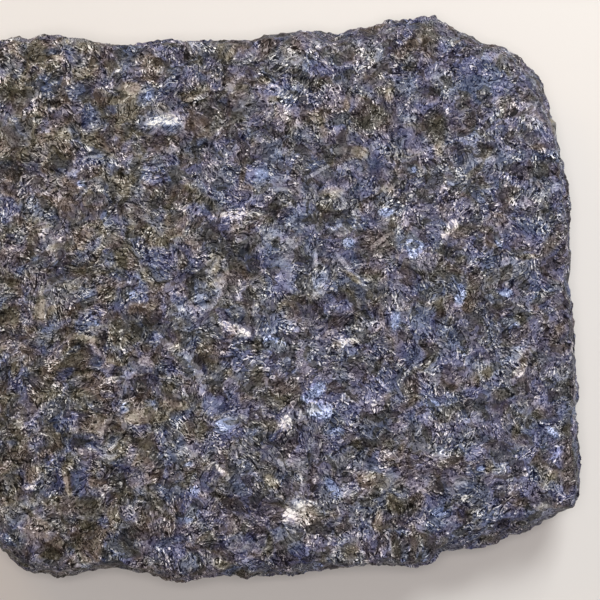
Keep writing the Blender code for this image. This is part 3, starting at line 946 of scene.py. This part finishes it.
def stone_layers(graph, shape):
    """The layers that the finish is mixed from, by name: chances, masks and marks from 0 to 1."""
    layers = {}
    place = kept(graph, "rest_place")
    frayed = ragged(graph, place)
    chances = graph.cells(frayed, shape.crystal / MM)[0]
    keep_chances(graph, layers, "crystal", chances)
    turn = crystal_turn(graph, chances)
    turned = graph.turned(frayed, turn)

    grains = squeezed(graph, turned, GRAIN_SIZE)
    chances = graph.cells(grains, 1.0)[0]
    keep_chances(graph, layers, "grain", chances)
    bend = graph.scaled(graph.vector("SUBTRACT", chances, HALF), GRAIN_BEND)
    turn_here = graph.vector("ADD", turn, bend)
    torn = pushed(graph, place, *TORN_WANDER)
    along = graph.turned(torn, turn_here)
    rough = graph.turned(pushed(graph, place, *ROUGH_WANDER), turn_here)

    plates = squeezed(graph, rough, PLATE_SIZE)
    chances, middle = graph.cells(plates, 1.0)
    keep_chances(graph, layers, "plate", chances)
    plate_edges(graph, layers, plates, middle)
    blades = squeezed(graph, turned, BLADE_SIZE)
    layers["blades"] = graph.parts(graph.cells(blades, 1.0)[0])[0]
    layers["stripe"] = graph.noise(squeezed(graph, along, STRIPE_SIZE), *STRIPES)[0]
    wisps = graph.noise(squeezed(graph, rough, WISP_SIZE), *WISPS)[0]
    layers["wisp"] = vein(graph, wisps, WISP_WIDTH)

    flakes = squeezed(graph, rough, FLAKE_SIZE)
    chances, middle = graph.cells(flakes, 1.0)
    keep_chances(graph, layers, "flake", chances)
    tilt = graph.vector("SUBTRACT", chances, HALF)
    layers["facet"] = graph.vector("DOT_PRODUCT", graph.vector("SUBTRACT", flakes, middle), tilt)

    slivers = squeezed(graph, along, SLIVER_SIZE)
    keep_chances(graph, layers, "sliver", graph.cells(slivers, 1.0)[0])
    # A painted shadow beside slivers: the slivers, looked for a little towards the key light.
    beside = graph.turned(graph.vector("ADD", torn, SLIVER_SHADOW), turn_here)
    beside = graph.cells(squeezed(graph, beside, SLIVER_SIZE), 1.0)[0]
    layers["beside"] = graph.parts(beside)[0]
    keep_chances(graph, layers, "speck", graph.cells(place, SPECK_SIZE)[0])
    patches = graph.parts(graph.noise(frayed, *PATCHES)[1])
    layers["patch"], layers["clots"], layers["clouds"] = patches
    layers["drift"] = graph.ranged(graph.parts(place)[0], *DRIFT, smooth=True)
    hues = graph.parts(graph.noise(pushed(graph, place, *HUE_WANDER), *HUES)[1])
    layers["warm_noise"], layers["blue_noise"], layers["mauve_noise"] = hues

    for name, (source, start, full) in MASKS.items():
        layers[name] = graph.ranged(layers[source], start, full)
    layers["busy"] = graph.math("MAXIMUM", layers["blade"], layers["busy"])
    streaky = graph.sloped(layers["busy"], *STREAKY)
    # A painted highlight on lifted slivers and a painted shadow beside them, both stronger where a grain
    # is busy.
    painted_sliver_shadow = graph.math("SUBTRACT", layers["painted_sliver_shadow"], layers["lifted"], clamp=True)
    layers["painted_sliver_shadow"] = graph.times(painted_sliver_shadow, streaky)
    layers["lifted"] = graph.times(layers["lifted"], streaky)

    layers["rag"] = graph.noise(place, *RAGS)[0]
    fray = spread(graph, layers, FRAY_SHARES, 0.0)
    width = spread(graph, layers, NET_WIDTH_SHARES, NET_WIDTH)
    width = graph.sloped(fray, NET_FRAY, width)
    net = pale_net(graph, grains, width)
    # A painted shadow beside the pale net: the net, looked for a little towards the key light, less the
    # net itself.
    beyond = graph.turned(graph.vector("ADD", frayed, NET_SHADOW), turn)
    shade = pale_net(graph, squeezed(graph, beyond, GRAIN_SIZE), width)
    layers["net"] = net
    layers["net_shade"] = graph.math("SUBTRACT", shade, net, clamp=True)
    placed_marks(graph, layers, fray)
    # Shine is a painted reflection on the white marks, where slivers catch the light.
    shine = graph.ranged(layers["sliver_second"], *SHINE_RANGE)
    layers["shine"] = graph.times(layers["white"], shine)
    return layers


def stone_tone(graph, layers):
    """How light the grains, the net and the marks are, without their fine detail."""
    tone = graph.ramp(spread(graph, layers, TONE_SHARES, TONE_MIDDLE), TONE_STOPS)
    tone = added(graph, layers, TONE_ADDED, tone)
    for name, (level, share) in LEVELS.items():
        tone = towards(graph, tone, level, graph.times(layers[name], share))
    tone = graph.math("MAXIMUM", tone, TONE_LOWEST)
    return graph.times(tone, graph.sloped(layers["clot"], CLOT_DARKER, 1.0))


def stone_detail(graph, layers):
    """Flakes, stripes, slivers, cracks and specks, above and below 0, with painted highlights on
    slivers and plate edges, and painted shadows beside slivers and the pale net.
    """
    busy = layers["busy"]
    striped = graph.sloped(busy, *STRIPED)
    detail = centred(graph, layers["flake"], FLAKE_SWING, 0.0)
    detail = centred(graph, layers["sliver"], graph.times(busy, SLIVER_BUSY), detail)
    detail = centred(graph, layers["speck"], SPECK_SWING, detail)
    detail = centred(graph, layers["stripe"], striped, detail)
    detail = added(graph, layers, DETAIL_ADDED, detail)
    calm = graph.times(layers["grain_third"], layers["plate_second"])
    calm = graph.sloped(calm, *CALM)
    calm = added(graph, layers, CALM_ADDED, calm)
    return graph.times(detail, graph.math("MAXIMUM", calm, CALM_LOWEST))


def stone_hue(graph, layers, colours, detail):
    """How far red, green and blue lie above or below a plain grey, for a depth of 1."""
    mix = {}
    for name, (middle, shares, more) in HUE_MIX.items():
        share = added(graph, layers, more, spread(graph, layers, shares, middle))
        mix[name] = graph.limited(share, 0.0, 1.0)
    hue = graph.mixed(mix["warm"], tint(colours.grey), tint(colours.tan))
    hue = graph.mixed(mix["bluish"], hue, tint(colours.flash))
    for name, share in BROWN_HUE.items():
        hue = graph.mixed(graph.times(layers[name], share), hue, tint(colours.clot))
    plain = added(graph, layers, PLAIN_ADDED, graph.ranged(detail, *PLAIN_DETAIL))
    hue = graph.mixed(graph.limited(plain, 0.0, 1.0), hue, PLAIN_HUE)
    cast = graph.mixed(mix["mauve"], GREEN_CAST, MAUVE_CAST)
    return graph.vector("ADD", graph.vector("SUBTRACT", hue, (1.0, 1.0, 1.0)), cast)


def stone_colour(graph, layers, colours):
    """The stone's colour: its lightness, with its hue laid over it to a depth."""
    tone = stone_tone(graph, layers)
    detail = stone_detail(graph, layers)
    reach = graph.sloped(tone, *REACH)
    light = graph.sloped(detail, reach, tone)
    light = added(graph, layers, LIGHT_ADDED, light)
    light = graph.limited(light, *LIGHT_LIMITS)
    depth = graph.sloped(graph.math("MINIMUM", tone, DEPTH_TOP), *DEPTH)
    depth = added(graph, layers, DEPTH_ADDED, depth)
    hue = graph.scaled(stone_hue(graph, layers, colours, detail), depth)
    shown = graph.vector("ADD", hue, graph.joined(light, light, light))
    shown = graph.vector("MAXIMUM", shown, COLOUR_LOWEST)
    return graph.node("ShaderNodeGamma", {}, {"Color": shown, "Gamma": SCREEN_GAMMA}).outputs[0]


def stone_material(shape, colours):
    """Larvikite: blue-grey crystals with flaky cleavage, tan stains and dark clots, a glossy coat on
    some flakes, and glints, a blue sheen, highlights and shadows painted into its colour.
    """
    material = bpy.data.materials.new("Larvikite, broken")
    material.use_nodes = True
    tree = material.node_tree
    tree.nodes.clear()
    graph = Graph(tree)
    layers = stone_layers(graph, shape)
    relief = added(graph, layers, LIFTS, graph.times(layers["facet"], FACET_LIFT))
    inputs = {"Strength": 1.0, "Distance": BUMP_DEPTH, "Height": relief}
    bump = graph.node("ShaderNodeBump", {}, inputs).outputs[0]
    inputs = {
        "Base Color": stone_colour(graph, layers, colours),
        "Roughness": graph.sloped(layers["flake_second"], *ROUGHNESS),
        "Specular IOR Level": SPECULAR,
        "Coat Weight": graph.times(layers["mirror"], COAT_SHARE),
        "Coat Roughness": COAT_ROUGHNESS,
        "Normal": bump,
        "Coat Normal": bump,
    }
    surface = graph.node("ShaderNodeBsdfPrincipled", {}, inputs)
    graph.node("ShaderNodeOutputMaterial", {}, {0: surface.outputs[0]})
    return material


class OBJECT_OT_larvikite_stone(bpy.types.Operator):
    """Builds the broken slab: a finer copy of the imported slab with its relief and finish"""

    bl_idname = "object.larvikite_stone"
    bl_label = "Larvikite stone"

    def execute(self, context):
        shape = context.scene.larvikite_shape
        stone = copied_slab(context)
        cut_finer(stone)
        break_surface(stone, shape)
        stone.data.materials.append(stone_material(shape, context.scene.larvikite_colours))
        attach(stone, BODY)
        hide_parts(SLAB_NODE)
        return {"FINISHED"}


def area_light(context, name, place, width, power, colour):
    """A square soft light at a place, turned towards the middle of the floor."""
    light = bpy.data.lights.new(name, "AREA")
    light.shape = "SQUARE"
    light.size = width
    light.energy = power
    light.color = colour
    lamp = bpy.data.objects.new(name, light)
    context.scene.collection.objects.link(lamp)
    lamp.location = place
    x, y, z = place
    lamp.rotation_euler = (math.atan2(math.hypot(x, y), z), 0.0, math.atan2(-y, -x) - math.pi / 2)


class OBJECT_OT_larvikite_stage(bpy.types.Operator):
    """Builds the plain floor, the soft lights and the camera that looks straight down"""

    bl_idname = "object.larvikite_stage"
    bl_label = "Stage"

    def execute(self, context):
        settings = context.scene.larvikite_stage
        scene = context.scene
        bpy.ops.object.select_all(action="DESELECT")
        bpy.ops.mesh.primitive_plane_add(size=FLOOR_WIDTH, location=(0.0, 0.0, 0.0))
        floor = context.active_object
        floor.name = "floor"
        material = bpy.data.materials.new("Floor, plain")
        material.use_nodes = True
        surface = material.node_tree.nodes["Principled BSDF"]
        surface.inputs["Base Color"].default_value = (*settings.floor, 1.0)
        surface.inputs["Roughness"].default_value = FLOOR_ROUGHNESS
        surface.inputs["Specular IOR Level"].default_value = SPECULAR
        floor.data.materials.append(material)

        for name, (place, width, colour) in LIGHTS.items():
            power = getattr(settings, name)
            area_light(context, name + " light", place, width, power, colour)
        world = bpy.data.worlds.new("Room")
        world.use_nodes = True
        back = world.node_tree.nodes["Background"]
        back.inputs["Color"].default_value = ROOM_COLOUR
        back.inputs["Strength"].default_value = settings.room
        scene.world = world
        scene.view_settings.view_transform = "Standard"

        lens = bpy.data.cameras.new("Camera")
        camera = bpy.data.objects.new("Camera", lens)
        scene.collection.objects.link(camera)
        camera.location = CAMERA_PLACE
        lens.sensor_width = CAMERA_SENSOR
        lens.lens = CAMERA_LENS
        lens.clip_start = CAMERA_CLIP
        scene.camera = camera
        return {"FINISHED"}


class VIEW3D_PT_larvikite(bpy.types.Panel):
    """Lists the steps that build the slab and its stage"""

    bl_label = "Larvikite slab"
    bl_idname = "VIEW3D_PT_larvikite"
    bl_space_type = "VIEW_3D"
    bl_region_type = "UI"
    bl_category = "Larvikite"

    def draw(self, context):
        for name, kind in GROUPS.items():
            column = self.layout.column()
            for field in kind.__annotations__:
                column.prop(getattr(context.scene, name), field)
        self.layout.operator(OBJECT_OT_larvikite_stone.bl_idname)
        self.layout.operator(OBJECT_OT_larvikite_stage.bl_idname)


GROUPS = {
    "larvikite_shape": LarvikiteShape,
    "larvikite_colours": LarvikiteColours,
    "larvikite_stage": LarvikiteStage,
}
CLASSES = (
    *GROUPS.values(),
    OBJECT_OT_larvikite_stone,
    OBJECT_OT_larvikite_stage,
    VIEW3D_PT_larvikite,
)


def register():
    for kind in CLASSES:
        bpy.utils.register_class(kind)
    for name, kind in GROUPS.items():
        setattr(bpy.types.Scene, name, bpy.props.PointerProperty(type=kind))


def unregister():
    for name in GROUPS:
        delattr(bpy.types.Scene, name)
    for kind in reversed(CLASSES):
        bpy.utils.unregister_class(kind)


def main():
    """Builds everything in order."""
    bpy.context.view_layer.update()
    register()
    bpy.ops.object.larvikite_stone()
    bpy.ops.object.larvikite_stage()


if __name__ == "__main__":
    main()
